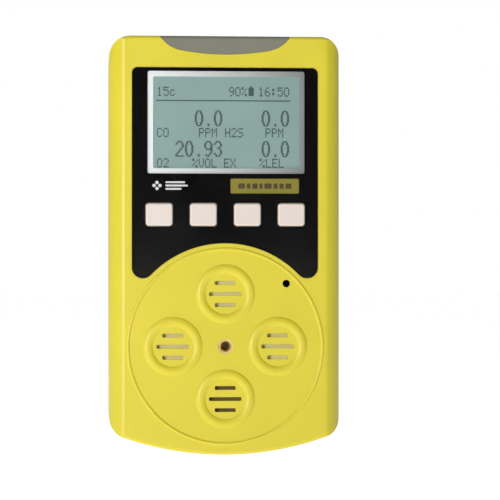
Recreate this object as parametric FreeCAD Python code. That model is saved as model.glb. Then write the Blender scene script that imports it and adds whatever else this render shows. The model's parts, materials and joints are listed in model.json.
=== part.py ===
import FreeCAD, Part
import math
import os

os.makedirs("parts", exist_ok=True)

V = FreeCAD.Vector

# Millimetres. X to the right, Y from the front face (-CASE_DEPTH) to the back face (0), and Z up from
# the lowest point of the casing. Everything is lowered by SEAT_HEIGHT on export, which puts the
# origin at the middle of the belt seat on the back face.

# Casing
CASE_WIDTH = 66.4
CASE_HEIGHT = 119.7
CASE_DEPTH = 31.0
WALL = 2.0
PARTING = -15.0
SEAT_HEIGHT = 74.0
TOP_CORNER_R = 6.0
BOTTOM_CORNER_R = 6.5
BOTTOM_ARC_R = 88.0
BEVEL_WIDTH = 4.0
BEVEL_DEPTH = 2.6
INNER_BEVEL_WIDTH = 3.0
INNER_BEVEL_DEPTH = 2.0
FRONT_EDGE_R = 1.0
CREST_R = 2.5
SIDE_R = 6.0
BACK_EDGE_R = 4.0
JOINT_GROOVE = 0.35

# Alarm lens in the top edge
LENS_DEPTH = 5.35
LENS_ARC_R = 70.0
LENS_END_R = 9.0
LENS_END_X = 11.1
LENS_GAP = 0.1
LENS_FLANGE = 1.5

# Display panel
PANEL_HALF_WIDTH = 26.6
PANEL_TOP = 110.7
PANEL_CORNER_R = 1.7
PANEL_LOBE_R = 3.1
PANEL_HOLLOW_R = 29.5
PANEL_DEPTH = 0.8
PANEL_GAP = 0.15
MASK_THICKNESS = 0.15
SHEET_THICKNESS = 0.5
SHEET_GAP = 0.05
WINDOW_WIDTH = 45.0
WINDOW_HEIGHT = 29.3
WINDOW_X = 0.25
WINDOW_Z = 95.0
GLASS_VIEW_WIDTH = 42.0
GLASS_VIEW_HEIGHT = 26.3
GLASS_VIEW_SHIFT = 0.2

# Push buttons
KEY_X = (-18.9, -6.3, 6.3, 18.9)
KEY_Z = 68.6
KEY_WIDTH = 7.65
KEY_HEIGHT = 6.4
KEY_GAP = 0.2
KEY_TRAVEL = 0.5

# Sensor ports on the front face
PORT_CENTRE_Z = 30.95
PORT_PITCH_R = 15.0
BEAD_R = 27.8
BEAD_WIDTH = 1.0
BEAD_HEIGHT = 0.35
RIDGE_R = 7.1
RIDGE_WIDTH = 2.8
RIDGE_HEIGHT = 0.55
SLOT_HEIGHT = 1.1
SLOT_STEP = 3.15
SLOT_WIDTHS = ((-SLOT_STEP, 6.0), (0.0, 9.3), (SLOT_STEP, 6.0))
PORT_TOP = (0.0, PORT_CENTRE_Z + PORT_PITCH_R)
PORT_LEFT = (-PORT_PITCH_R, PORT_CENTRE_Z)
PORT_RIGHT = (PORT_PITCH_R, PORT_CENTRE_Z)
PORT_BOTTOM = (0.0, PORT_CENTRE_Z - PORT_PITCH_R)
PORTS = (PORT_TOP, PORT_LEFT, PORT_RIGHT, PORT_BOTTOM)
INSERT_R = 2.1
INSERT_BORE_R = 1.25
INSERT_BOSS_R = 4.4
SOUND_HOLE = (17.5, 48.9)
SOUND_HOLE_R = 1.1

# Boards and fixings
BOARD_FRONT = -11.2
BOARD_BACK = -9.6
DISPLAY_BOARD_FRONT = -25.0
DISPLAY_BOARD_BACK = -23.8
SENSOR_R = 10.0
SENSOR_FRONT = -28.4
SENSOR_BACK = -11.8
SENSOR_PIN_R = 0.75
SENSOR_PIN_CIRCLE_R = 6.75
CUP_R = 10.2
BOSS_R = 3.2
POST_R = 2.25
CASE_SCREWS = ((-27.0, 114.0), (27.0, 114.0), (-26.5, 11.75), (26.5, 11.75))
BOARD_POSTS = ((-28.0, 56.0), (28.0, 56.0), (-28.0, 96.0), (28.0, 96.0))
DISPLAY_POSTS = ((-23.0, 61.0), (23.0, 61.0), (-22.8, 76.5), (22.8, 76.5))
CLIP_SCREWS = ((-6.5, 92.0), (6.5, 92.0), (-6.5, 107.5), (6.5, 107.5))
MOTOR_Y = -5.5
MOTOR_Z = 14.0

# Charging port in the bottom wall
PORT_Y = -8.3
COVER_HINGE_Y = -12.4
COVER_HINGE_Z = 1.2

# Belt clip
PIN_Y = 5.0
PIN_Z = 100.0
PIN_R = 1.25
EAR_R = 2.2
LEVER_WIDTH = 20.0
LEVER_THICKNESS = 1.2
LEVER_PATH = ((10.6, 115.5), (8.2, 103.0), (7.6, 66.0), (1.0, 52.0), (3.2, 46.5))
LEVER_BENDS = (4.0, 4.0, 1.2)

FRONT = -CASE_DEPTH
HALF_WIDTH = CASE_WIDTH / 2
PANEL_FLOOR = FRONT + PANEL_DEPTH
INNER_FRONT = FRONT + WALL


def box(x0, x1, y0, y1, z0, z1):
    return Part.makeBox(x1 - x0, y1 - y0, z1 - z0, V(x0, y0, z0))


def rod(x, z, radius, y0, y1):
    return Part.makeCylinder(radius, y1 - y0, V(x, y0, z), V(0, 1, 0))


def tube(x, z, outer, inner, y0, y1):
    return rod(x, z, outer, y0, y1).cut(rod(x, z, inner, y0, y1))


def cross_rod(y, z, radius, x0, x1):
    return Part.makeCylinder(radius, x1 - x0, V(x0, y, z), V(1, 0, 0))


def slab(x, z, width, height, corner, y0, y1):
    body = box(x - width / 2, x + width / 2, y0, y1, z - height / 2, z + height / 2)
    upright = [e for e in body.Edges if abs(e.BoundBox.YLength - (y1 - y0)) < 1e-6]
    return body.makeFillet(corner, upright)


def fuse(shapes):
    return shapes[0].multiFuse(shapes[1:]).removeSplitter()


def extrude(wire, y0, y1):
    face = Part.Face(wire)
    face.translate(V(0, y0, 0))
    return face.extrude(V(0, y1 - y0, 0))


def across(points, x0, x1):
    """Solid drawn from (y, z) points and pulled along X."""
    corners = [V(x0, y, z) for y, z in points]
    return Part.Face(Part.makePolygon(corners + corners[:1])).extrude(V(x1 - x0, 0, 0))


def line(a, b):
    return Part.LineSegment(a, b).toShape()


def arc(a, b, c):
    return Part.Arc(a, b, c).toShape()


def at(x, z):
    return V(x, 0, z)


def on_circle(centre, radius, degrees):
    angle = math.radians(degrees)
    return centre + at(radius * math.cos(angle), radius * math.sin(angle))


def mirrored_wire(right):
    left = [edge.mirror(V(0, 0, 0), V(1, 0, 0)) for edge in right]
    return Part.Wire(Part.__sortEdges__(right + left))


def case_outline(inset):
    """Front view of the casing, moved inwards by inset."""
    side = HALF_WIDTH - inset
    top = CASE_HEIGHT - inset
    corner = at(HALF_WIDTH - TOP_CORNER_R, CASE_HEIGHT - TOP_CORNER_R)
    corner_r = TOP_CORNER_R - inset
    foot_x = HALF_WIDTH - BOTTOM_CORNER_R
    foot = at(foot_x, BOTTOM_ARC_R - math.sqrt((BOTTOM_ARC_R - BOTTOM_CORNER_R) ** 2 - foot_x ** 2))
    foot_r = BOTTOM_CORNER_R - inset
    turn = math.degrees(math.atan2(foot.z - BOTTOM_ARC_R, foot.x))
    belly = on_circle(at(0, BOTTOM_ARC_R), BOTTOM_ARC_R - inset, (turn - 90) / 2)
    right = [
        line(at(0, top), at(corner.x, top)),
        arc(at(corner.x, top), on_circle(corner, corner_r, 45), at(side, corner.z)),
        line(at(side, corner.z), at(side, foot.z)),
        arc(at(side, foot.z), on_circle(foot, foot_r, turn / 2), on_circle(foot, foot_r, turn)),
        arc(on_circle(foot, foot_r, turn), belly, at(0, inset)),
    ]
    return mirrored_wire(right)


def side_profile(side, y0, y1, bevel_width, bevel_depth, crest_r, side_r):
    """Upright block whose top view has the long bevel down each side of the front."""
    corners = [
        V(-side, y1 + 1, -2),
        V(-side, y0 + bevel_depth, -2),
        V(-side + bevel_width, y0, -2),
        V(side - bevel_width, y0, -2),
        V(side, y0 + bevel_depth, -2),
        V(side, y1 + 1, -2),
    ]
    block = Part.Face(Part.makePolygon(corners + corners[:1])).extrude(V(0, 0, CASE_HEIGHT + 4))
    for depth, radius in ((y0, crest_r), (y0 + bevel_depth, side_r)):
        if radius:
            edges = [
                e
                for e in block.Edges
                if e.BoundBox.ZLength > CASE_HEIGHT
                and abs(e.BoundBox.YMin - depth) < 0.01
                and e.BoundBox.YLength < 0.01
            ]
            block = block.makeFillet(radius, edges)
    return block


def envelope(inset, bevel_width, bevel_depth, front_r, crest_r, side_r, back_r):
    y0 = FRONT + inset
    y1 = -inset
    body = extrude(case_outline(inset), y0, y1)
    body = body.makeFillet(back_r, [e for e in body.Edges if e.BoundBox.YMin > y1 - 0.01])
    if front_r:
        body = body.makeFillet(front_r, [e for e in body.Edges if e.BoundBox.YMax < y0 + 0.01])
    return body.common(
        side_profile(HALF_WIDTH - inset, y0, y1, bevel_width, bevel_depth, crest_r, side_r)
    )


def panel_outline(inset):
    """Display panel: a rectangle with a round hollow for the sensor ports in its lower edge."""
    side = PANEL_HALF_WIDTH - inset
    top = PANEL_TOP - inset
    corner = at(PANEL_HALF_WIDTH - PANEL_CORNER_R, PANEL_TOP - PANEL_CORNER_R)
    corner_r = PANEL_CORNER_R - inset
    reach = PANEL_HOLLOW_R + PANEL_LOBE_R
    lobe_x = PANEL_HALF_WIDTH - PANEL_LOBE_R
    lobe = at(lobe_x, PORT_CENTRE_Z + math.sqrt(reach ** 2 - lobe_x ** 2))
    lobe_r = PANEL_LOBE_R - inset
    turn = math.degrees(math.atan2(PORT_CENTRE_Z - lobe.z, -lobe.x))
    shoulder = math.degrees(math.atan2(lobe.z - PORT_CENTRE_Z, lobe.x))
    hollow = at(0, PORT_CENTRE_Z)
    hollow_r = PANEL_HOLLOW_R + inset
    right = [
        line(at(0, top), at(corner.x, top)),
        arc(at(corner.x, top), on_circle(corner, corner_r, 45), at(side, corner.z)),
        line(at(side, corner.z), at(side, lobe.z)),
        arc(at(side, lobe.z), on_circle(lobe, lobe_r, turn / 2), on_circle(lobe, lobe_r, turn)),
        arc(
            on_circle(hollow, hollow_r, shoulder),
            on_circle(hollow, hollow_r, (shoulder + 90) / 2),
            on_circle(hollow, hollow_r, 90),
        ),
    ]
    return mirrored_wire(right)


def lens_outline(inset):
    """Curved notch for the alarm lens, open above the casing."""
    arc_z = CASE_HEIGHT - LENS_DEPTH + LENS_ARC_R
    end = at(LENS_END_X, arc_z - math.sqrt((LENS_ARC_R - LENS_END_R) ** 2 - LENS_END_X ** 2))
    slope = math.degrees(math.atan2(end.z - arc_z, end.x))
    big_r = LENS_ARC_R - inset
    end_r = LENS_END_R - inset
    ceiling = CASE_HEIGHT + 8
    right = [
        arc(
            at(0, arc_z - big_r),
            on_circle(at(0, arc_z), big_r, (slope - 90) / 2),
            on_circle(at(0, arc_z), big_r, slope),
        ),
        arc(on_circle(end, end_r, slope), on_circle(end, end_r, slope / 2), on_circle(end, end_r, 0)),
        line(on_circle(end, end_r, 0), at(end.x + end_r, ceiling)),
        line(at(end.x + end_r, ceiling), at(0, ceiling)),
    ]
    return mirrored_wire(right)


def ridge(x, z, radius, width, height):
    """Round bead standing proud of the front face."""
    wire_r = (width ** 2 / 4 + height ** 2) / (2 * height)
    ring = Part.makeTorus(radius, wire_r, V(x, FRONT - height + wire_r, z), V(0, 1, 0))
    reach = radius + wire_r + 1
    return ring.common(box(x - reach, x + reach, FRONT - 2, FRONT + 0.1, z - reach, z + reach))


def strip(path, bends, thickness, x0, x1):
    """Bent sheet that follows (y, z) points, with a bend radius on its centre line at each corner."""
    points = [V(0, y, z) for y, z in path]
    sides = {1: [], -1: []}
    for sign in (1, -1):
        edges = []
        start = None
        for i in range(len(points) - 1):
            along = (points[i + 1] - points[i]).normalize()
            across_sheet = V(0, -along.z, along.y) * (sign * thickness / 2)
            if start is None:
                start = points[i] + across_sheet
            if i + 2 == len(points):
                edges.append(line(start, points[i + 1] + across_sheet))
                break
            onward = (points[i + 2] - points[i + 1]).normalize()
            turn = math.atan2(along.y * onward.z - along.z * onward.y, along.dot(onward))
            setback = bends[i] * math.tan(abs(turn) / 2)
            hand = 1 if turn > 0 else -1
            centre = points[i + 1] - along * setback + V(0, -along.z, along.y) * (hand * bends[i])
            first = points[i + 1] - along * setback + across_sheet
            last = points[i + 1] + onward * setback + V(0, -onward.z, onward.y) * (sign * thickness / 2)
            middle = centre + ((first - centre) + (last - centre)).normalize() * (first - centre).Length
            edges.append(line(start, first))
            edges.append(arc(first, middle, last))
            start = last
        sides[sign] = edges
    ends = [
        line(sides[1][0].Vertexes[0].Point, sides[-1][0].Vertexes[0].Point),
        line(sides[1][-1].Vertexes[-1].Point, sides[-1][-1].Vertexes[-1].Point),
    ]
    wire = Part.Wire(Part.__sortEdges__(sides[1] + sides[-1] + ends))
    face = Part.Face(wire)
    face.translate(V(x0, 0, 0))
    return face.extrude(V(x1 - x0, 0, 0))


def port_slots(x, z):
    return [slab(x, z + dz, width, SLOT_HEIGHT, 0.3, FRONT - 2, INNER_FRONT + 0.2) for dz, width in SLOT_WIDTHS]


def key_openings(y0, y1):
    return [
        slab(x, KEY_Z, KEY_WIDTH + 2 * KEY_GAP, KEY_HEIGHT + 2 * KEY_GAP, 1.0, y0, y1) for x in KEY_X
    ]


def front_case(shell):
    body = shell.common(box(-40, 40, FRONT - 1, PARTING, -1, CASE_HEIGHT + 1))
    cups = fuse([rod(x, z, CUP_R + 0.8, INNER_FRONT - 0.3, -25.0) for x, z in PORTS])
    cups = cups.cut([rod(x, z, CUP_R, INNER_FRONT, -24.0) for x, z in PORTS])
    added = [cups, rod(0, PORT_CENTRE_Z, INSERT_BOSS_R, INNER_FRONT - 0.3, -23.5)]
    added += [rod(x, z, POST_R, INNER_FRONT - 0.2, DISPLAY_BOARD_FRONT) for x, z in DISPLAY_POSTS]
    added += [rod(x, z, POST_R, INNER_FRONT - 0.2, BOARD_FRONT) for x, z in BOARD_POSTS]
    added += [rod(x, z, BOSS_R, INNER_FRONT - 0.2, PARTING) for x, z in CASE_SCREWS]
    for x, z in CASE_SCREWS:
        wall_x = math.copysign(HALF_WIDTH - WALL + 0.2, x)
        added.append(box(min(x, wall_x), max(x, wall_x), INNER_FRONT + 1.5, PARTING - 1, z - 0.6, z + 0.6))
    added += [ridge(x, z, RIDGE_R, RIDGE_WIDTH, RIDGE_HEIGHT) for x, z in PORTS]
    added.append(ridge(0, PORT_CENTRE_Z, BEAD_R, BEAD_WIDTH, BEAD_HEIGHT))
    body = fuse([body] + added)
    removed = [slot for x, z in PORTS for slot in port_slots(x, z)]
    removed += key_openings(FRONT - 1, INNER_FRONT + 0.5)
    width = WINDOW_WIDTH + 0.8
    height = WINDOW_HEIGHT + 0.8
    removed.append(slab(WINDOW_X, WINDOW_Z, width, height, 0.8, FRONT - 1, INNER_FRONT + 0.5))
    removed.append(extrude(panel_outline(-PANEL_GAP), FRONT - 1, PANEL_FLOOR))
    removed.append(extrude(lens_outline(0), FRONT - 1, PARTING + 1))
    removed.append(rod(0, PORT_CENTRE_Z, INSERT_R, FRONT - 1, -24.5))
    removed.append(rod(SOUND_HOLE[0], SOUND_HOLE[1], SOUND_HOLE_R, FRONT - 1, INNER_FRONT + 0.5))
    removed += [rod(x, z, 0.8, -28.3, DISPLAY_BOARD_FRONT + 1) for x, z in DISPLAY_POSTS]
    removed += [rod(x, z, 0.8, -16.0, BOARD_FRONT + 1) for x, z in BOARD_POSTS]
    removed += [rod(x, z, 2.0, -21.2, PARTING + 1) for x, z in CASE_SCREWS]
    return body.cut(removed)


def rear_case(shell, outer):
    body = shell.common(box(-40, 40, PARTING, 1, -1, CASE_HEIGHT + 1))
    pad = box(-8.5, 8.5, -14.4, -3.0, 0.5, 4.4).common(outer)
    cradle = box(-13.0, -3.0, -4.6, -1.5, MOTOR_Z - 3.6, MOTOR_Z + 3.6)
    added = [pad, cradle]
    added += [rod(x, z, BOSS_R, PARTING, -1.5) for x, z in CASE_SCREWS]
    added += [rod(x, z, 2.4, -7.0, -1.5) for x, z in CLIP_SCREWS]
    body = fuse([body] + added)
    groove = extrude(case_outline(0.9), PARTING - 1, PARTING + 0.7).cut(
        extrude(case_outline(1.6), PARTING - 2, PARTING + 2)
    )
    removed = [groove, cross_rod(MOTOR_Y, MOTOR_Z, 3.0, -14.0, -2.0)]
    removed += [rod(x, z, 2.6, -3.0, 1) for x, z in CASE_SCREWS]
    removed += [rod(x, z, 1.45, PARTING - 1, 1) for x, z in CASE_SCREWS]
    removed += [rod(x, z, 1.0, -6.2, 1) for x, z in CLIP_SCREWS]
    removed.append(slab(0, 31.0, 35.0, 23.0, 1.4, -0.3, 1))
    removed.append(box(-6.7, 6.7, -13.7, -4.9, -1, 2.1))
    removed.append(box(-4.3, 4.3, PORT_Y - 1.8, PORT_Y + 1.8, 1, 6))
    removed.append(cross_rod(COVER_HINGE_Y, COVER_HINGE_Z, 0.46, -7.5, 7.5))
    return body.cut(removed)


def alarm_lens(outer, inner):
    liner = inner.cut(envelope(WALL + 1.0, 2.4, 1.6, 0, 0, 0, 1.4))
    flange = liner.common(extrude(lens_outline(-LENS_FLANGE), FRONT - 1, PARTING - 0.3))
    front = box(-40, 40, FRONT - 1, PARTING, 100, CASE_HEIGHT + 1)
    window = outer.cut(inner).common(extrude(lens_outline(LENS_GAP), FRONT - 1, PARTING)).common(front)
    return fuse([window, flange])


def front_sheet():
    y1 = PANEL_FLOOR - MASK_THICKNESS - SHEET_GAP
    y0 = y1 - SHEET_THICKNESS
    sheet = extrude(panel_outline(0), y0, y1)
    sheet = sheet.makeChamfer(0.15, [e for e in sheet.Edges if e.BoundBox.YMax < y0 + 0.01])
    return sheet.cut(key_openings(y0 - 1, PANEL_FLOOR + 1))


def panel_mask():
    mask = extrude(panel_outline(0), PANEL_FLOOR - MASK_THICKNESS, PANEL_FLOOR)
    window = slab(WINDOW_X, WINDOW_Z, WINDOW_WIDTH, WINDOW_HEIGHT, 0.6, PANEL_FLOOR - 1, PANEL_FLOOR + 1)
    return mask.cut(key_openings(PANEL_FLOOR - 1, PANEL_FLOOR + 1) + [window])


def lcd_bezel():
    width = WINDOW_WIDTH + 0.4
    height = WINDOW_HEIGHT + 0.4
    frame = slab(WINDOW_X, WINDOW_Z, width, height, 0.6, -29.9, DISPLAY_BOARD_FRONT)
    hollow = box(
        WINDOW_X + 0.4 - width / 2,
        WINDOW_X - 0.4 + width / 2,
        -29.5,
        DISPLAY_BOARD_FRONT + 1,
        WINDOW_Z + 0.4 - height / 2,
        WINDOW_Z - 0.4 + height / 2,
    )
    view_x = WINDOW_X + GLASS_VIEW_SHIFT
    view = slab(view_x, WINDOW_Z, GLASS_VIEW_WIDTH, GLASS_VIEW_HEIGHT, 0.4, -31, -29)
    return frame.cut([hollow, view])


def button(x):
    cap = slab(x, KEY_Z, KEY_WIDTH, KEY_HEIGHT, 0.9, -31.75, -28.95)
    cap = cap.makeFillet(0.5, [e for e in cap.Edges if e.BoundBox.YMax < -31.74])
    flange = slab(x, KEY_Z, KEY_WIDTH + 1.75, KEY_HEIGHT + 1.8, 0.9, -28.95, -28.15)
    return fuse([cap, flange, rod(x, KEY_Z, 1.3, -28.15, -26.3)])


def key_switch(x):
    body = slab(x, KEY_Z, 5.2, 5.2, 0.3, -26.9, DISPLAY_BOARD_FRONT)
    return body.cut(rod(x, KEY_Z, 1.5, -27.5, -25.5))


def display_board():
    board = slab(0, 84.5, 50.0, 53.0, 1.5, DISPLAY_BOARD_FRONT, DISPLAY_BOARD_BACK)
    return board.cut([rod(x, z, 0.95, -26, -23) for x, z in DISPLAY_POSTS])


def sensor_pins(x, z):
    centre = at(x, z)
    return [on_circle(centre, SENSOR_PIN_CIRCLE_R, degrees) for degrees in (90, 210, 330)]


def main_board():
    board = extrude(case_outline(3.2), BOARD_FRONT, BOARD_BACK)
    removed = [rod(x, z, BOSS_R + 0.5, -12, -9) for x, z in CASE_SCREWS]
    removed += [rod(x, z, 0.95, -12, -9) for x, z in BOARD_POSTS]
    removed += [rod(p.x, p.z, 1.1, -12, -9) for port in PORTS for p in sensor_pins(*port)]
    removed.append(box(-9.0, 9.0, -12, -9, 0, 5.0))
    return board.cut(removed)


def main_board_chips():
    front = ((0, 75, 10, 10, 1.2), (-16, 74, 7, 7, 1.0), (16, 72, 5, 6, 1.5), (-18, 92, 5, 9, 1.0))
    back = ((22, 70, 6, 8, 1.0), (-22, 66, 5, 5, 0.9), (21, 90, 7, 5, 1.1), (-22, 20.5, 6, 6, 1.0))
    chips = [slab(x, z, w, h, 0.2, BOARD_FRONT - t, BOARD_FRONT) for x, z, w, h, t in front]
    chips += [slab(x, z, w, h, 0.2, BOARD_BACK, BOARD_BACK + t) for x, z, w, h, t in back]
    return Part.makeCompound(chips)


def gas_sensor(x, z):
    can = fuse(
        [
            rod(x, z, SENSOR_R, SENSOR_FRONT, -26.9),
            rod(x, z, SENSOR_R - 0.3, -26.9, -13.0),
            rod(x, z, SENSOR_R, -13.0, SENSOR_BACK),
        ]
    )
    can = can.cut([rod(x, z, 6.5, SENSOR_FRONT - 1, SENSOR_FRONT + 0.3), rod(x, z, 1.2, SENSOR_FRONT, -27.0)])
    pins = [rod(p.x, p.z, SENSOR_PIN_R, SENSOR_BACK - 0.5, -9.2) for p in sensor_pins(x, z)]
    return fuse([can] + pins)


def sensor_sockets():
    sockets = []
    for port in PORTS:
        for p in sensor_pins(*port):
            flange = rod(p.x, p.z, 1.5, SENSOR_BACK, BOARD_FRONT)
            barrel = rod(p.x, p.z, 1.1, BOARD_FRONT, -9.0)
            sockets.append(fuse([flange, barrel]).cut(rod(p.x, p.z, SENSOR_PIN_R, -12, -8)))
    return Part.makeCompound(sockets)


def calibration_insert():
    body = rod(0, PORT_CENTRE_Z, INSERT_R, -30.6, -24.5).cut(rod(0, PORT_CENTRE_Z, INSERT_BORE_R, -32, -24))
    mouth = [e for e in body.Edges if e.BoundBox.YMax < -30.59 and e.BoundBox.XLength < 2.6]
    body = body.makeChamfer(0.35, mouth)
    return body.cut(tube(0, PORT_CENTRE_Z, INSERT_R + 1, INSERT_R - 0.25, -28.0, -27.0))


def buzzer():
    x, z = SOUND_HOLE
    can = rod(x, z, 6.0, -20.7, BOARD_FRONT)
    can = can.makeFillet(0.5, [e for e in can.Edges if e.BoundBox.YMax < -20.6])
    return can.cut([rod(x, z, 1.2, -22, -18.5), tube(x, z, 7.0, 5.8, -13.2, -12.7)])


def buzzer_gasket():
    x, z = SOUND_HOLE
    body = fuse([rod(x, z, 3.0, INNER_FRONT, -20.7), rod(x, z, 4.0, INNER_FRONT, -28.2), rod(x, z, 4.6, -21.8, -20.7)])
    return body.cut(rod(x, z, 1.4, -30, -20))


def board_header():
    tall = box(-12.7, 12.7, DISPLAY_BOARD_BACK, -14.6, 102.7, 105.3)
    low = box(-12.7, 12.7, -13.7, BOARD_FRONT, 102.7, 105.3)
    pins = [box(x - 0.32, x + 0.32, -14.8, -13.5, 103.68, 104.32) for x in [1.27 + 2.54 * (i - 5) for i in range(10)]]
    return fuse([tall, low] + pins)


def alarm_leds():
    leds = [slab(x, 109.4, 3.2, 2.8, 0.3, DISPLAY_BOARD_BACK, DISPLAY_BOARD_BACK + 1.6) for x in (-9.0, 0.0, 9.0)]
    return Part.makeCompound(leds)


def battery_pack():
    cell = box(-17.0, 17.0, -8.2, -2.5, 30.0, 80.0)
    cell = cell.makeFillet(1.6, [e for e in cell.Edges if e.BoundBox.ZLength > 49])
    return fuse([cell, box(-14.0, 14.0, -7.2, -3.4, 79.5, 83.0)])


def vibration_motor():
    can = cross_rod(MOTOR_Y, MOTOR_Z, 3.0, -13.5, -2.5)
    can = can.makeChamfer(0.3, [e for e in can.Edges if e.BoundBox.XLength < 0.01])
    return can.cut(cross_rod(MOTOR_Y, MOTOR_Z, 0.55, -6.0, -2.0))


def motor_weight():
    disc = cross_rod(MOTOR_Y, MOTOR_Z, 2.8, -1.6, 2.6)
    upper = box(-3, 4, MOTOR_Y - 4, MOTOR_Y + 4, MOTOR_Z + 0.9, MOTOR_Z + 4)
    return disc.cut([upper, cross_rod(MOTOR_Y, MOTOR_Z, 0.5, -3, 4)])


def charge_socket():
    shell = slab(0, 7.4, 7.6, 5.6, 0.3, BOARD_BACK, BOARD_BACK + 2.6)
    mouth = box(-3.4, 3.4, BOARD_BACK + 0.35, BOARD_BACK + 2.25, 4.0, 9.6)
    tongue = box(-2.4, 2.4, BOARD_BACK + 0.95, BOARD_BACK + 1.5, 5.2, 9.8)
    return fuse([shell.cut(mouth), tongue])


def port_cover(outer):
    flap = box(-6.5, 6.5, COVER_HINGE_Y + 0.2, -5.1, -1, 1.9)
    flap = flap.common(extrude(case_outline(0.15), -14, 0))
    barrel = cross_rod(COVER_HINGE_Y, COVER_HINGE_Z, 0.7, -6.5, 6.5)
    stubs = cross_rod(COVER_HINGE_Y, COVER_HINGE_Z, 0.4, -7.3, 7.3)
    web = box(-6.5, 6.5, COVER_HINGE_Y, COVER_HINGE_Y + 0.6, COVER_HINGE_Z - 0.5, COVER_HINGE_Z + 0.6)
    plug = box(-3.5, 3.5, PORT_Y - 1.1, PORT_Y + 1.1, 1.5, 2.6)
    return fuse([flap, barrel, stubs, web, plug])


def clip_bracket():
    base = slab(0, 100.0, 22.0, 23.0, 1.5, 0.0, LEVER_THICKNESS)
    parts = [base]
    for x0 in (-10.5, 9.3):
        foot = ((0.6, 95.0), (0.6, 105.0), (PIN_Y, PIN_Z + EAR_R), (PIN_Y, PIN_Z - EAR_R))
        parts.append(across(foot, x0, x0 + 1.2))
        parts.append(cross_rod(PIN_Y, PIN_Z, EAR_R, x0, x0 + 1.2))
    holes = [rod(x, z, 1.0, -1, 3) for x, z in CLIP_SCREWS]
    return fuse(parts).cut(holes + [cross_rod(PIN_Y, PIN_Z, PIN_R, -12, 12)])


def clip_lever():
    half = LEVER_WIDTH / 2
    sheet = strip(LEVER_PATH, LEVER_BENDS, LEVER_THICKNESS, -half, half)
    sheet = sheet.common(slab(0, 81.0, LEVER_WIDTH, 71.0, 3.0, -5, 20))
    parts = [sheet]
    for x0 in (-8.6, 7.4):
        web = ((PIN_Y, PIN_Z - EAR_R), (PIN_Y, PIN_Z + EAR_R), (8.3, 103.5), (8.05, 94.5))
        parts.append(across(web, x0, x0 + 1.2))
        parts.append(cross_rod(PIN_Y, PIN_Z, EAR_R, x0, x0 + 1.2))
    for z in (107.5, 109.7, 111.9):
        parts.append(cross_rod(8.2 + (z - 103.0) * 0.192 + 0.55, z, 0.45, -7.5, 7.5))
    window = slab(0, 79.0, 7.0, 20.0, 3.4, 5, 12)
    return fuse(parts).cut([window, cross_rod(PIN_Y, PIN_Z, PIN_R + 0.05, -12, 12)])


def clip_hinge_pin():
    return fuse(
        [
            cross_rod(PIN_Y, PIN_Z, PIN_R, -11.0, 11.0),
            cross_rod(PIN_Y, PIN_Z, 1.9, -11.3, -10.5),
            cross_rod(PIN_Y, PIN_Z, 1.9, 10.5, 11.3),
        ]
    )


def clip_spring():
    mean_r = 1.9
    wire_r = 0.28
    turns = 6
    pitch = 0.8
    half = pitch * turns / 2
    helix = Part.makeHelix(pitch, pitch * turns, mean_r)
    helix.rotate(V(0, 0, 0), V(0, 1, 0), -90)
    helix.translate(V(half, PIN_Y, PIN_Z))
    top = PIN_Z + mean_r
    section = Part.Wire(Part.Circle(V(half, PIN_Y, top), V(0, 1, 0), wire_r).toShape())
    coil = Part.Wire(helix.Edges).makePipeShell([section], True, True)
    parts = [coil]
    low = LEVER_THICKNESS + wire_r
    for x, y, foot_y in ((half, low, low), (-half, 7.1, 7.66)):
        corner = V(x, y, top)
        toe = V(x, foot_y, PIN_Z + 6.0)
        reach = corner - V(x, PIN_Y, top)
        run = toe - corner
        parts.append(Part.makeCylinder(wire_r, reach.Length, V(x, PIN_Y, top), reach))
        parts.append(Part.makeSphere(wire_r, corner))
        parts.append(Part.makeCylinder(wire_r, run.Length, corner, run))
    return fuse(parts)


def screws(places, head_r, head_y0, head_y1, shank_r, shank_y0, drive_r):
    made = []
    for x, z in places:
        head = rod(x, z, head_r, head_y0, head_y1)
        head = head.makeFillet(0.2, [e for e in head.Edges if e.BoundBox.YMin > head_y1 - 0.01])
        corners = [on_circle(at(x, z), drive_r, 60 * i) + V(0, head_y1 - 0.7, 0) for i in range(6)]
        drive = Part.Face(Part.makePolygon(corners + corners[:1])).extrude(V(0, 2, 0))
        made.append(fuse([head, rod(x, z, shank_r, shank_y0, head_y0)]).cut(drive))
    return Part.makeCompound(made)


outer = envelope(0, BEVEL_WIDTH, BEVEL_DEPTH, FRONT_EDGE_R, CREST_R, SIDE_R, BACK_EDGE_R)
inner = envelope(WALL, INNER_BEVEL_WIDTH, INNER_BEVEL_DEPTH, 0, 0, 0, 2.2)
joint_line = extrude(case_outline(-1), PARTING - 0.25, PARTING + 0.25).cut(
    extrude(case_outline(JOINT_GROOVE), PARTING - 1, PARTING + 1)
)
skin = outer.cut(joint_line)
shell = skin.cut(inner)

board_screws = Part.makeCompound(
    [
        screws(DISPLAY_POSTS, 1.5, DISPLAY_BOARD_BACK, DISPLAY_BOARD_BACK + 0.9, 0.8, -28.0, 0.7),
        screws(BOARD_POSTS, 1.5, BOARD_BACK, BOARD_BACK + 0.9, 0.8, -15.8, 0.7),
    ]
)

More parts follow.
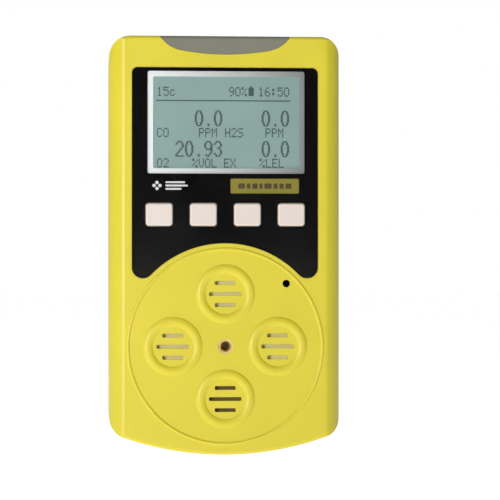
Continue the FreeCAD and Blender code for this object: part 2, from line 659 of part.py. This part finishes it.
nodes = {
    "front_case": front_case(shell),
    "rear_case": rear_case(shell, outer),
    "case_seal": extrude(case_outline(0.9), PARTING, PARTING + 0.7).cut(
        extrude(case_outline(1.6), PARTING - 1, PARTING + 1)
    ),
    "alarm_lens": alarm_lens(skin, inner),
    "front_lens": front_sheet(),
    "panel_mask": panel_mask(),
    "lcd_bezel": lcd_bezel(),
    "lcd_glass": box(WINDOW_X - 22.2, WINDOW_X + 22.2, -29.5, -27.7, WINDOW_Z - 14.25, WINDOW_Z + 14.25),
    "lcd_backlight": box(
        WINDOW_X - 21.2, WINDOW_X + 21.2, -27.7, DISPLAY_BOARD_FRONT, WINDOW_Z - 12.2, WINDOW_Z + 12.2
    ),
    "zebra_strips": Part.makeCompound(
        [
            box(WINDOW_X - 20, WINDOW_X + 20, -27.7, DISPLAY_BOARD_FRONT, z - 0.75, z + 0.75)
            for z in (WINDOW_Z - 13.2, WINDOW_Z + 13.2)
        ]
    ),
    "display_board": display_board(),
    "main_board": main_board(),
    "main_board_chips": main_board_chips(),
    "board_header": board_header(),
    "board_screws": board_screws,
    "alarm_leds": alarm_leds(),
    "oxygen_sensor": gas_sensor(*PORT_TOP),
    "carbon_monoxide_sensor": gas_sensor(*PORT_LEFT),
    "hydrogen_sulphide_sensor": gas_sensor(*PORT_RIGHT),
    "flammable_gas_sensor": gas_sensor(*PORT_BOTTOM),
    "sensor_sockets": sensor_sockets(),
    "sensor_seal": Part.makeCompound([tube(x, z, 9.6, 7.1, INNER_FRONT, SENSOR_FRONT) for x, z in PORTS]),
    "dust_filter_top": rod(*PORT_TOP, 7.0, INNER_FRONT, INNER_FRONT + 0.4),
    "dust_filter_left": rod(*PORT_LEFT, 7.0, INNER_FRONT, INNER_FRONT + 0.4),
    "dust_filter_right": rod(*PORT_RIGHT, 7.0, INNER_FRONT, INNER_FRONT + 0.4),
    "flame_arrestor": rod(*PORT_BOTTOM, 7.0, INNER_FRONT, INNER_FRONT + 0.4),
    "calibration_insert": calibration_insert(),
    "buzzer": buzzer(),
    "buzzer_gasket": buzzer_gasket(),
    "battery_pack": battery_pack(),
    "battery_pad": slab(0, 55.0, 30.0, 46.0, 2.0, -2.5, -WALL),
    "vibration_motor": vibration_motor(),
    "motor_shaft": cross_rod(MOTOR_Y, MOTOR_Z, 0.5, -5.9, 3.0),
    "motor_weight": motor_weight(),
    "charge_socket": charge_socket(),
    "port_cover": port_cover(outer),
    "case_screws": screws(CASE_SCREWS, 2.25, -3.0, -1.2, 1.25, -21.0, 1.2),
    "case_inserts": Part.makeCompound([tube(x, z, 2.0, 1.25, -21.2, PARTING - 0.2) for x, z in CASE_SCREWS]),
    "rating_label": slab(0, 31.0, 34.4, 22.4, 1.1, -0.3, -0.1),
    "clip_bracket": clip_bracket(),
    "clip_screws": screws(CLIP_SCREWS, 1.9, LEVER_THICKNESS, LEVER_THICKNESS + 0.9, 1.0, -6.0, 0.9),
    "clip_hinge_pin": clip_hinge_pin(),
    "clip_lever": clip_lever(),
    "clip_spring": clip_spring(),
}
for number, x in enumerate(KEY_X, 1):
    nodes["button_%d" % number] = button(x)
    nodes["key_switch_%d" % number] = key_switch(x)

for name, shape in nodes.items():
    shape.translate(V(0, 0, -SEAT_HEIGHT))
    shape.exportStep("parts/" + name + ".step")
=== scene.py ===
import json
import math

import bpy
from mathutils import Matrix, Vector


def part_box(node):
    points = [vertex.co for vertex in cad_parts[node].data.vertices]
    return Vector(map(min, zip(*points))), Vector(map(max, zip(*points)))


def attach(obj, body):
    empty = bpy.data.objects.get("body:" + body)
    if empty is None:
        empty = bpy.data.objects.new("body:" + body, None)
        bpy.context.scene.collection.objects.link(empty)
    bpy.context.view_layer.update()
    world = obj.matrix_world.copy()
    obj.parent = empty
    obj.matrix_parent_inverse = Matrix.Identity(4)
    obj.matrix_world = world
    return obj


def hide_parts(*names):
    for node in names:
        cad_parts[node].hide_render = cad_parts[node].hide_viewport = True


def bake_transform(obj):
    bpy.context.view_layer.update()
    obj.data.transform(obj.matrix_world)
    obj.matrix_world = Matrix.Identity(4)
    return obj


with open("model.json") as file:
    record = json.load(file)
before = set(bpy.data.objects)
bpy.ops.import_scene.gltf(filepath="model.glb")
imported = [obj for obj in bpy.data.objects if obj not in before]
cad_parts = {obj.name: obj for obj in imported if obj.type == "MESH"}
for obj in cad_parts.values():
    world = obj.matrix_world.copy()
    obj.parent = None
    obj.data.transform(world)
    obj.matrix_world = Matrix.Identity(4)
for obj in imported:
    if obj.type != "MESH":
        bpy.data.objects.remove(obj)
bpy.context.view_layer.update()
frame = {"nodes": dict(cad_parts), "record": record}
nodes = frame["nodes"]
scene = bpy.context.scene
MM = 0.001
CASE_DEPTH = 31

case_low, case_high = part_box("front_case")
case_x = (case_low.x + case_high.x) / 2
foot_z = case_low.z
front_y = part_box("rear_case")[1].y - CASE_DEPTH * MM


def place(x, y, z):
    """Point in mm from the case's centre line, its front face (0 to 31 going back) and its foot."""
    return Vector((case_x + x * MM, front_y + y * MM, foot_z + z * MM))


# ---------------------------------------------------------------- camera
AZIMUTH = math.radians(-4.17)
ELEVATION = math.radians(-0.52)
DISTANCE = 613.7
SENSOR_WIDTH = 36.0
FOCAL_LENGTH = 154.6

aim = place(7.06, 0, 58.5)
away = Vector(
    (
        math.sin(AZIMUTH) * math.cos(ELEVATION),
        -math.cos(AZIMUTH) * math.cos(ELEVATION),
        math.sin(ELEVATION),
    )
)
camera_data = bpy.data.cameras.new("camera")
camera = bpy.data.objects.new("camera", camera_data)
scene.collection.objects.link(camera)
camera.location = aim + away * (DISTANCE * MM)
camera.rotation_euler = (-away).to_track_quat("-Z", "Y").to_euler()
camera_data.sensor_width = SENSOR_WIDTH
camera_data.lens = FOCAL_LENGTH
camera_data.clip_start = 0.005
camera_data.clip_end = 20
scene.camera = camera
scene.view_settings.view_transform = "Standard"


# ---------------------------------------------------------------- materials
WEAR_REACH = 0.35 * MM
COAT_ROUGHNESS = 0.08
HEAD_ON_REFLECTION = 0.035
SMUDGE_SCALE = 70


def principled(material):
    return next(n for n in material.node_tree.nodes if n.type == "BSDF_PRINCIPLED")


def finish(
    name,
    colour,
    roughness,
    metallic=0.0,
    variation=0.04,
    variation_scale=60.0,
    grain_scale=2600.0,
    grain=0.008,
    stretch=(1, 1, 1),
    roughness_spread=0.08,
    wear=0.0,
    wear_colour=(1, 1, 1),
    coat=0.0,
    specular=0.5,
    pattern="noise",
    flat=False,
    painted_shade=None,
):
    """Procedural finish in object coordinates: colour drift, fine grain, worn edges, and an optional
    painted shade that darkens the colour along X.

    Flat and worn finishes take the normal of the mesh's own faces.
    """
    material = bpy.data.materials.new(name)
    material.use_nodes = True
    tree = material.node_tree
    shader = principled(material)
    new = tree.nodes.new
    link = tree.links.new

    where = new("ShaderNodeTexCoord")
    scaled = new("ShaderNodeMapping")
    scaled.inputs["Scale"].default_value = stretch
    link(where.outputs["Object"], scaled.inputs["Vector"])

    drift = new("ShaderNodeTexNoise")
    drift.inputs["Scale"].default_value = variation_scale
    drift.inputs["Detail"].default_value = 5
    link(scaled.outputs["Vector"], drift.inputs["Vector"])

    if pattern == "cells":
        fine = new("ShaderNodeTexVoronoi")
        fine.inputs["Scale"].default_value = grain_scale
        fine_out = fine.outputs["Distance"]
    else:
        fine = new("ShaderNodeTexNoise")
        fine.inputs["Scale"].default_value = grain_scale
        fine.inputs["Detail"].default_value = 3
        fine_out = fine.outputs["Fac"]
    link(scaled.outputs["Vector"], fine.inputs["Vector"])

    tint = new("ShaderNodeValToRGB")
    tint.color_ramp.elements[0].position = 0.3
    tint.color_ramp.elements[1].position = 0.7
    tint.color_ramp.elements[0].color = [c * (1 - variation) for c in colour] + [1]
    tint.color_ramp.elements[1].color = [min(1, c * (1 + variation)) for c in colour] + [1]
    link(drift.outputs["Fac"], tint.inputs["Fac"])
    colour_out = tint.outputs["Color"]

    blend_grain = new("ShaderNodeMix")
    blend_grain.data_type = "RGBA"
    blend_grain.blend_type = "MULTIPLY"
    blend_grain.inputs["Factor"].default_value = min(1, variation * 2)
    link(colour_out, blend_grain.inputs["A"])
    link(fine_out, blend_grain.inputs["B"])
    colour_out = blend_grain.outputs["Result"]

    # Painted shade: the colour is multiplied down along X from start to end, so one side looks lit and
    # the other shaded
    if painted_shade:
        start, end, shade_end_colour = painted_shade
        split = new("ShaderNodeSeparateXYZ")
        link(where.outputs["Object"], split.inputs["Vector"])
        along = new("ShaderNodeMapRange")
        along.inputs["From Min"].default_value = start
        along.inputs["From Max"].default_value = end
        link(split.outputs["X"], along.inputs["Value"])
        painted_shade_mix = new("ShaderNodeMix")
        painted_shade_mix.data_type = "RGBA"
        painted_shade_mix.blend_type = "MULTIPLY"
        painted_shade_mix.inputs["B"].default_value = list(shade_end_colour) + [1]
        link(along.outputs["Result"], painted_shade_mix.inputs["Factor"])
        link(colour_out, painted_shade_mix.inputs["A"])
        colour_out = painted_shade_mix.outputs["Result"]

    if wear:
        soft = new("ShaderNodeBevel")
        soft.samples = 6
        soft.inputs["Radius"].default_value = WEAR_REACH
        plain = new("ShaderNodeNewGeometry")
        meet = new("ShaderNodeVectorMath")
        meet.operation = "DOT_PRODUCT"
        link(soft.outputs["Normal"], meet.inputs[0])
        link(plain.outputs["Normal"], meet.inputs[1])
        edge = new("ShaderNodeMapRange")
        edge.inputs["From Min"].default_value = 0.995
        edge.inputs["From Max"].default_value = 0.85
        edge.inputs["To Min"].default_value = 0.0
        edge.inputs["To Max"].default_value = wear
        link(meet.outputs["Value"], edge.inputs["Value"])
        patchy = new("ShaderNodeMath")
        patchy.operation = "MULTIPLY"
        link(edge.outputs["Result"], patchy.inputs[0])
        link(drift.outputs["Fac"], patchy.inputs[1])
        worn = new("ShaderNodeMix")
        worn.data_type = "RGBA"
        worn.inputs["B"].default_value = list(wear_colour) + [1]
        link(patchy.outputs["Value"], worn.inputs["Factor"])
        link(colour_out, worn.inputs["A"])
        colour_out = worn.outputs["Result"]
    link(colour_out, shader.inputs["Base Color"])

    rough = new("ShaderNodeMapRange")
    rough.inputs["To Min"].default_value = max(0.02, roughness - roughness_spread)
    rough.inputs["To Max"].default_value = min(1.0, roughness + roughness_spread)
    link(drift.outputs["Fac"], rough.inputs["Value"])
    link(rough.outputs["Result"], shader.inputs["Roughness"])

    bump = new("ShaderNodeBump")
    bump.inputs["Strength"].default_value = 1.0
    bump.inputs["Distance"].default_value = grain * MM
    link(fine_out, bump.inputs["Height"])
    if flat or wear:
        link(new("ShaderNodeNewGeometry").outputs["True Normal"], bump.inputs["Normal"])
    link(bump.outputs["Normal"], shader.inputs["Normal"])

    shader.inputs["Metallic"].default_value = metallic
    shader.inputs["Specular IOR Level"].default_value = specular
    shader.inputs["Coat Weight"].default_value = coat
    shader.inputs["Coat Roughness"].default_value = COAT_ROUGHNESS
    return material


def clear_sheet(name, gloss_roughness, tint):
    """Thin clear plastic, seen through: its front faces reflect, and more so at a glancing angle."""
    material = bpy.data.materials.new(name)
    material.use_nodes = True
    tree = material.node_tree
    tree.nodes.remove(principled(material))
    new = tree.nodes.new
    through = new("ShaderNodeBsdfTransparent")
    through.inputs["Color"].default_value = list(tint) + [1]
    gloss = new("ShaderNodeBsdfGlossy")
    smudge = new("ShaderNodeTexNoise")
    smudge.inputs["Scale"].default_value = SMUDGE_SCALE
    where = new("ShaderNodeTexCoord")
    tree.links.new(where.outputs["Object"], smudge.inputs["Vector"])
    rough = new("ShaderNodeMapRange")
    rough.inputs["To Min"].default_value = gloss_roughness * 0.6
    rough.inputs["To Max"].default_value = gloss_roughness * 1.6
    tree.links.new(smudge.outputs["Fac"], rough.inputs["Value"])
    tree.links.new(rough.outputs["Result"], gloss.inputs["Roughness"])
    facing = new("ShaderNodeLayerWeight")
    steep = new("ShaderNodeMath")
    steep.operation = "POWER"
    steep.inputs[1].default_value = 5
    tree.links.new(facing.outputs["Facing"], steep.inputs[0])
    mirror = new("ShaderNodeMapRange")
    mirror.inputs["To Min"].default_value = HEAD_ON_REFLECTION
    mirror.inputs["To Max"].default_value = 1.0
    tree.links.new(steep.outputs["Value"], mirror.inputs["Value"])
    side = new("ShaderNodeNewGeometry")
    outer = new("ShaderNodeMath")
    outer.operation = "SUBTRACT"
    outer.inputs[0].default_value = 1.0
    tree.links.new(side.outputs["Backfacing"], outer.inputs[1])
    front_only = new("ShaderNodeMath")
    front_only.operation = "MULTIPLY"
    tree.links.new(mirror.outputs["Result"], front_only.inputs[0])
    tree.links.new(outer.outputs["Value"], front_only.inputs[1])
    mix = new("ShaderNodeMixShader")
    tree.links.new(front_only.outputs["Value"], mix.inputs["Fac"])
    tree.links.new(through.outputs["BSDF"], mix.inputs[1])
    tree.links.new(gloss.outputs["BSDF"], mix.inputs[2])
    output = next(n for n in tree.nodes if n.type == "OUTPUT_MATERIAL")
    tree.links.new(mix.outputs["Shader"], output.inputs["Surface"])
    return material


YELLOW = (0.72, 0.62, 0.040)
materials = {
    "shell_yellow": finish(
        "shell_yellow", YELLOW, 0.39, variation=0.025, grain_scale=3200, grain=0.006,
        wear=0.35, wear_colour=(0.86, 0.80, 0.25), specular=0.45,
    ),
    "lens_smoke": finish(
        "lens_smoke", (0.215, 0.215, 0.168), 0.34, variation=0.03, variation_scale=140,
        grain_scale=2400, grain=0.005,
    ),
    "window_clear": clear_sheet("window_clear", 0.11, (0.97, 0.98, 0.98)),
    "panel_black": finish(
        "panel_black", (0.0030, 0.0026, 0.0028), 0.30,
        variation=0.15, grain=0.002, specular=0.05, flat=True,
    ),
    # Display frame: painted shade and reflection, its colour is full at the left and falls to about a
    # third at the right
    "bezel_metal": finish(
        "bezel_metal", (0.97, 0.98, 0.99), 0.42, metallic=0.1,
        variation=0.02, grain_scale=1500, grain=0.003,
        stretch=(0.1, 1, 1), painted_shade=(-0.022, 0.022, (0.31, 0.32, 0.31)),
    ),
    "lcd_grey": finish(
        "lcd_grey", (0.300, 0.430, 0.408), 0.35,
        variation=0.035, grain_scale=1800, grain=0.001,
    ),
    "backlight_white": finish("backlight_white", (0.85, 0.85, 0.82), 0.6),
    "contact_rubber": finish("contact_rubber", (0.10, 0.10, 0.11), 0.85, grain=0.02),
    "board_green": finish(
        "board_green", (0.012, 0.09, 0.035), 0.35, variation=0.25, variation_scale=180, pattern="cells",
        grain_scale=500, grain=0.02, coat=0.3,
    ),
    "chip_black": finish("chip_black", (0.018, 0.018, 0.020), 0.55, variation=0.1, grain=0.01),
    "led_clear": finish("led_clear", (0.75, 0.70, 0.66), 0.15, coat=0.5),
    "key_grey": finish(
        "key_grey", (0.76, 0.67, 0.61), 0.50, variation=0.02, grain_scale=2800, grain=0.008,
        wear=0.25, wear_colour=(0.86, 0.80, 0.76),
    ),
    "switch_black": finish("switch_black", (0.02, 0.02, 0.02), 0.5),
    "sensor_white": finish("sensor_white", (0.62, 0.62, 0.57), 0.55, variation=0.05),
    "sensor_steel": finish("sensor_steel", (0.50, 0.50, 0.48), 0.35, metallic=1.0, stretch=(1, 8, 1)),
    "contact_gold": finish("contact_gold", (0.75, 0.52, 0.18), 0.25, metallic=1.0),
    "filter_white": finish(
        "filter_white", (0.76, 0.69, 0.38), 0.9,
        variation=0.06, grain_scale=5200, grain=0.05, specular=0.2,
    ),
    "sinter_brown": finish(
        "sinter_brown", (0.20, 0.13, 0.045), 0.6, metallic=0.5, variation=0.3, pattern="cells",
        grain_scale=6000, grain=0.06,
    ),
    "seal_black": finish(
        "seal_black", (0.014, 0.014, 0.014), 0.75,
        variation=0.15, grain_scale=3500, grain=0.02,
    ),
    "insert_brass": finish(
        "insert_brass", (0.80, 0.62, 0.32), 0.48, metallic=1.0, grain_scale=2500, grain=0.004,
        wear=0.4, wear_colour=(0.80, 0.64, 0.36),
    ),
    "buzzer_black": finish("buzzer_black", (0.015, 0.015, 0.016), 0.5),
    "battery_wrap": finish(
        "battery_wrap", (0.35, 0.38, 0.42), 0.3,
        metallic=0.7, grain_scale=400, grain=0.03,
    ),
    "foam_grey": finish(
        "foam_grey", (0.06, 0.06, 0.06), 0.95,
        pattern="cells", grain_scale=2500, grain=0.15,
    ),
    "motor_steel": finish("motor_steel", (0.60, 0.60, 0.60), 0.3, metallic=1.0, stretch=(0.1, 1, 1)),
    "weight_metal": finish("weight_metal", (0.22, 0.22, 0.23), 0.5, metallic=1.0, grain=0.03),
    "clip_steel": finish(
        "clip_steel", (0.56, 0.56, 0.55), 0.30, metallic=1.0,
        variation=0.06, grain_scale=5200, grain=0.004,
        stretch=(1, 1, 0.03), roughness_spread=0.10, wear=0.5, wear_colour=(0.78, 0.78, 0.77),
    ),
    "screw_steel": finish("screw_steel", (0.40, 0.40, 0.41), 0.32, metallic=1.0, wear=0.4, grain=0.004),
    "spring_steel": finish("spring_steel", (0.50, 0.50, 0.50), 0.22, metallic=1.0, grain=0.003),
    "label_silver": finish(
        "label_silver", (0.62, 0.62, 0.60), 0.42, metallic=0.3,
        variation=0.03, grain=0.002,
    ),
}
for part in frame["record"]["subparts"]:
    mesh = nodes[part["node"]].data
    mesh.materials.clear()
    mesh.materials.append(materials[part["material_slot"]])

ink_dark = finish("ink_dark", (0.058, 0.100, 0.095), 0.5, variation=0.08, grain=0.001)
ink_white = finish("ink_white", (0.80, 0.80, 0.80), 0.5, variation=0.02, grain=0.001)
ink_gold = finish("ink_gold", (0.29, 0.245, 0.016), 0.5, variation=0.06, grain_scale=900, grain=0.002)
ink_brown = finish("ink_brown", (0.085, 0.045, 0.010), 0.5, variation=0.1, grain=0.001)


# ---------------------------------------------------------------- pieces drawn in mesh code
def solid(name, outlines, y0, y1, material, body="case"):
    """Flat shapes in the front view, each an (x, z) outline, pulled from y0 to y1 into closed plates."""
    points = []
    faces = []
    for outline in outlines:
        n = len(outline)
        base = len(points)
        points += [(x, y0, z) for x, z in outline] + [(x, y1, z) for x, z in outline]
        faces.append([base + i for i in range(n)])
        faces.append([base + n + i for i in reversed(range(n))])
        faces += [[base + i, base + n + i, base + n + (i + 1) % n, base + (i + 1) % n] for i in range(n)]
    mesh = bpy.data.meshes.new(name)
    mesh.from_pydata([tuple(p) for p in points], [], faces)
    mesh.validate()
    mesh.materials.append(material)
    piece = bpy.data.objects.new(name, mesh)
    scene.collection.objects.link(piece)
    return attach(piece, body)


def rounded(x, z, width, height, radius, steps=5):
    """Outline of a rounded rectangle, anticlockwise as seen from the front."""
    outline = []
    for cx, cz, start in ((1, 1, 0), (-1, 1, 90), (-1, -1, 180), (1, -1, 270)):
        for i in range(steps + 1):
            angle = math.radians(start + 90 * i / steps)
            outline.append(
                (
                    x + cx * (width / 2 - radius) + radius * math.cos(angle),
                    z + cz * (height / 2 - radius) + radius * math.sin(angle),
                )
            )
    return outline


SMALL = {
    "0": "0E11111111110E", "1": "040C040404040E", "2": "0E11010204081F", "5": "1F101E0101110E",
    "6": "0608101E11110E", "9": "0E11110F01020C", ":": "000C0C000C0C00", "%": "18190204081303",
    "c": "00000E1010110E", "C": "0E11101010110E", "O": "0E11111111110E", "P": "1E11111E101010",
    "M": "111B1515111111", "H": "1111111F111111", "S": "0F10100E01011E", "V": "11111111110A04",
    "L": "1010101010101F", "E": "1F10101E10101F", "X": "11110A040A1111",
}
LARGE = {
    "0": "3C6666C3C3C3C3C3C366663C", "2": "3C66C30303060C183060C0FF", "3": "3C66C303061C060303C3663C",
    "9": "3C66C3C3C3673F0303066C38", ".": "000000000000000000001818",
}
DOT_X = 0.305 * MM
DOT_Z = 0.38 * MM
DOT_FILL = 0.97
INK_DEPTH = 0.02 * MM
INK_SUNK = 0.01 * MM
GLASS_SHIFT = 0.05 * MM


def dots(text, glyphs, columns, advance, left, top):
    """Lit dots of a line of text on the display's dot grid."""
    lit = []
    for place_in_line, letter in enumerate(text):
        code = glyphs[letter]
        for row in range(len(code) // 2):
            bits = int(code[2 * row:2 * row + 2], 16)
            for column in range(columns):
                if bits >> (columns - 1 - column) & 1:
                    x = left + (place_in_line * advance + column + 0.5) * DOT_X
                    z = top - (row + 0.5) * DOT_Z
                    lit.append(rounded(x, z, DOT_X * DOT_FILL, DOT_Z * DOT_FILL, DOT_X * 0.1, 1))
    return lit


glass_low, glass_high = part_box("lcd_glass")
glass_x = (glass_low.x + glass_high.x) / 2 - GLASS_SHIFT
glass_z = (glass_low.z + glass_high.z) / 2
readout = []
# Status line, gas names and units in small dots
for text, x, z in (
    ("15c", -19.7, 10.19), ("90%", 0.9, 10.19), ("16:50", 9.4, 10.19),
    ("CO", -19.7, -1.57), ("PPM", -7.7, -1.57), ("H2S", -0.2, -1.57), ("PPM", 11.4, -1.57),
    ("O2", -19.7, -10.28), ("%VOL", -9.6, -10.28), ("EX", -0.5, -10.28), ("%LEL", 9.7, -10.28),
):
    readout += dots(text, SMALL, 5, 6, glass_x + x * MM, glass_z + z * MM)
# The four readings in large dots
for text, x, z in (
    ("0.0", -8.9, 3.5), ("0.0", 10.3, 3.5), ("20.93", -14.45, -5.26), ("0.0", 10.3, -5.26),
):
    readout += dots(text, LARGE, 8, 9, glass_x + x * MM, glass_z + z * MM)
# Rule under the status line, then the battery mark and its cap
readout.append(rounded(glass_x - 0.65 * MM, glass_z + 6.27 * MM, 38.6 * MM, 0.34 * MM, 0.05 * MM, 1))
readout.append(rounded(glass_x + 7.3 * MM, glass_z + 8.85 * MM, 1.5 * MM, 2.4 * MM, 0.15 * MM, 1))
readout.append(rounded(glass_x + 7.3 * MM, glass_z + 10.25 * MM, 0.7 * MM, 0.36 * MM, 0.05 * MM, 1))
solid("lcd_readout", readout, glass_low.y - INK_DEPTH, glass_low.y + INK_SUNK, ink_dark)

# Printing in the gap between the clear sheet and the black mask
print_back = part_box("panel_mask")[0].y
print_front = print_back - INK_DEPTH
mark_x = case_x - 15.9 * MM
mark_z = foot_z + 76.9 * MM
marks = [
    rounded(mark_x + x * MM, mark_z + z * MM, 0.95 * MM, 0.95 * MM, 0.46 * MM)
    for x, z in ((-3.6, 0.85), (-4.45, 0.0), (-2.75, 0.0), (-3.6, -0.85))
]
for z, width in ((0.95, 5.6), (0.0, 6.4), (-0.95, 4.6)):
    x = mark_x + (-1.2 + width / 2) * MM
    marks.append(rounded(x, mark_z + z * MM, width * MM, 0.52 * MM, 0.24 * MM))
solid("print_marks", marks, print_front, print_back, ink_white)
block_x = case_x + 11.35 * MM
block_z = foot_z + 76.8 * MM
block = rounded(block_x, block_z, 19.6 * MM, 4.2 * MM, 0.35 * MM)
solid("print_block", [block], print_front, print_back, ink_gold)
ticks = []
TICK_GAP = 0.52
left = -7.6
for width in (1.9, 1.1, 1.5, 0.9, 2.1, 1.2, 1.2, 1.7):
    ticks.append(rounded(block_x + (left + width / 2) * MM, block_z, width * MM, 1.5 * MM, 0.3 * MM))
    left += width + TICK_GAP
solid("print_ticks", ticks, print_front - 0.01 * MM, print_front + 0.005 * MM, ink_brown)

# Printing on the label on the back: a border, ruled lines and a block of bars
label_low, label_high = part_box("rating_label")
label_x = (label_low.x + label_high.x) / 2
label_z = (label_low.z + label_high.z) / 2
TEXT_EDGE = 14.4
ROW_STEP = 2.3
BAR_GAP = 0.3
bars_z = label_z - 7.0 * MM
lines = [
    rounded(label_x, label_z + side * 10.2 * MM, 32.4 * MM, 0.25 * MM, 0.1 * MM, 1) for side in (-1, 1)
]
lines += [
    rounded(label_x + side * 16.2 * MM, label_z, 0.25 * MM, 20.15 * MM, 0.1 * MM, 1) for side in (-1, 1)
]
for row, width in enumerate((19, 24, 14, 22, 17)):
    x = label_x + (TEXT_EDGE - width / 2) * MM
    z = label_z + (7.6 - row * ROW_STEP) * MM
    lines.append(rounded(x, z, width * MM, 0.8 * MM, 0.3 * MM))
across = -TEXT_EDGE
for step in range(26):
    bar = 0.28 + 0.24 * ((step * 7) % 3)
    lines.append(rounded(label_x + (across + bar / 2) * MM, bars_z, bar * MM, 3.6 * MM, 0.05 * MM, 1))
    across += bar + BAR_GAP
for x in (8.3, 12.2):
    lines.append(rounded(label_x + x * MM, bars_z, 3.0 * MM, 3.0 * MM, 1.2 * MM))
solid("label_print", lines, label_high.y - INK_SUNK, label_high.y + INK_DEPTH, ink_dark)


def threaded_insert():
    """Brass insert with a real thread cut in its bore, a countersunk mouth and a knurled outside."""
    low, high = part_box("calibration_insert")
    cx = (low.x + high.x) / 2
    cz = (low.z + high.z) / 2
    outer = (high.x - low.x) / 2
    minor = 1.25 * MM
    pitch = 0.5 * MM
    thread_depth = 0.22 * MM
    mouth_depth = 0.45 * MM
    groove = 0.08 * MM
    knurl_start, knurl_end = 0.5 * MM, 5.6 * MM
    around = 72
    rows = int((high.y - low.y) / (pitch / 8))
    points = []
    for row in range(rows + 1):
        y = low.y + (high.y - low.y) * row / rows
        for i in range(around):
            angle = 2 * math.pi * i / around
            phase = ((y - low.y) / pitch + i / around) % 1.0
            radius = minor + thread_depth * abs(2 * phase - 1)
            mouth = max(0.0, mouth_depth - (y - low.y))
            radius = max(radius, minor + 0.05 * MM + mouth * 0.8) if mouth else radius
            points.append((cx + radius * math.cos(angle), y, cz + radius * math.sin(angle)))
    inner_count = len(points)
    for row in range(rows + 1):
        y = low.y + (high.y - low.y) * row / rows
        for i in range(around):
            angle = 2 * math.pi * i / around
            radius = outer - (groove if i % 2 and knurl_start < y - low.y < knurl_end else 0.0)
            points.append((cx + radius * math.cos(angle), y, cz + radius * math.sin(angle)))
    faces = []
    for row in range(rows):
        for i in range(around):
            j = (i + 1) % around
            a = row * around
            b = a + around
            faces.append((a + i, b + i, b + j, a + j))
            faces.append(
                (inner_count + a + j, inner_count + b + j, inner_count + b + i, inner_count + a + i)
            )
    last = rows * around
    for i in range(around):
        j = (i + 1) % around
        faces.append((i, j, inner_count + j, inner_count + i))
        faces.append((last + j, last + i, inner_count + last + i, inner_count + last + j))
    mesh = bpy.data.meshes.new("threaded_insert")
    mesh.from_pydata(points, [], faces)
    mesh.validate()
    mesh.materials.append(materials["insert_brass"])
    piece = bpy.data.objects.new("threaded_insert", mesh)
    scene.collection.objects.link(piece)
    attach(piece, "case")
    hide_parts("calibration_insert")


threaded_insert()

# Torsion spring of the belt clip: a copy of the CAD spring's mesh, baked in place, stands in for the
# hidden CAD part
spring = bpy.data.objects.new("torsion_spring", nodes["clip_spring"].data.copy())
scene.collection.objects.link(spring)
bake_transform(spring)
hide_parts("clip_spring")

# ---------------------------------------------------------------- floor and light
# The floor lies below the foot, where the port cover can swing down clear of it
FLOOR_DROP = 0.012
REACH = 6.0
FLOOR_GLOW = 0.96
floor_z = foot_z - FLOOR_DROP
floor_mesh = bpy.data.meshes.new("floor")
floor_mesh.from_pydata(
    [(x * REACH, y * REACH, floor_z) for x, y in ((-1, -1), (1, -1), (1, 1), (-1, 1))],
    [],
    [(0, 1, 2, 3)],
)
floor = bpy.data.objects.new("floor", floor_mesh)
scene.collection.objects.link(floor)
paint = bpy.data.materials.new("floor_pale")
paint.use_nodes = True
shade = principled(paint)
shade.inputs["Base Color"].default_value = (0.30, 0.30, 0.30, 1)
shade.inputs["Roughness"].default_value = 0.9
shade.inputs["Specular IOR Level"].default_value = 0.1
shade.inputs["Emission Color"].default_value = (1, 1, 1, 1)
shade.inputs["Emission Strength"].default_value = FLOOR_GLOW
floor_mesh.materials.append(paint)

case_middle = place(0, 15, 60)


def area_light(name, position, size, power, colour=(1, 1, 1)):
    """Round lamp, not seen by the camera, turned to the middle of the casing."""
    data = bpy.data.lights.new(name, "AREA")
    data.shape = "DISK"
    data.size = size
    data.energy = power
    data.color = colour
    light = bpy.data.objects.new(name, data)
    scene.collection.objects.link(light)
    light.location = position
    light.rotation_euler = (case_middle - position).to_track_quat("-Z", "Y").to_euler()
    light.visible_camera = False


area_light("key_left", place(-280, -500, 85), 0.17, 1.93, (1.0, 0.985, 0.96))
area_light("fill_top", place(-250, -200, 900), 0.6, 0.8)
area_light("warm_glint", place(-24, -800, 50), 0.075, 0.0022, (1.0, 0.82, 0.60))
area_light("back_fill", place(-300, 700, 500), 0.6, 3.2)

# The camera sees plain white, while the surroundings light the object mostly from behind
world = bpy.data.worlds.new("world")
scene.world = world
world.use_nodes = True
tree = world.node_tree
ambient = tree.nodes["Background"]
around = tree.nodes.new("ShaderNodeTexCoord")
direction = tree.nodes.new("ShaderNodeSeparateXYZ")
glow = tree.nodes.new("ShaderNodeMapRange")
glow.interpolation_type = "SMOOTHSTEP"
glow.inputs["From Min"].default_value = -0.2
glow.inputs["From Max"].default_value = 0.7
glow.inputs["To Min"].default_value = 0.02
glow.inputs["To Max"].default_value = 0.25
tree.links.new(around.outputs["Generated"], direction.inputs["Vector"])
tree.links.new(direction.outputs["Y"], glow.inputs["Value"])
tree.links.new(glow.outputs["Result"], ambient.inputs["Strength"])
ambient.inputs["Color"].default_value = (1, 1, 1, 1)
seen = tree.nodes.new("ShaderNodeBackground")
seen.inputs["Color"].default_value = (1, 1, 1, 1)
seen.inputs["Strength"].default_value = 1.0
path = tree.nodes.new("ShaderNodeLightPath")
mix = tree.nodes.new("ShaderNodeMixShader")
tree.links.new(path.outputs["Is Camera Ray"], mix.inputs["Fac"])
tree.links.new(ambient.outputs["Background"], mix.inputs[1])
tree.links.new(seen.outputs["Background"], mix.inputs[2])
tree.links.new(mix.outputs["Shader"], tree.nodes["World Output"].inputs["Surface"])
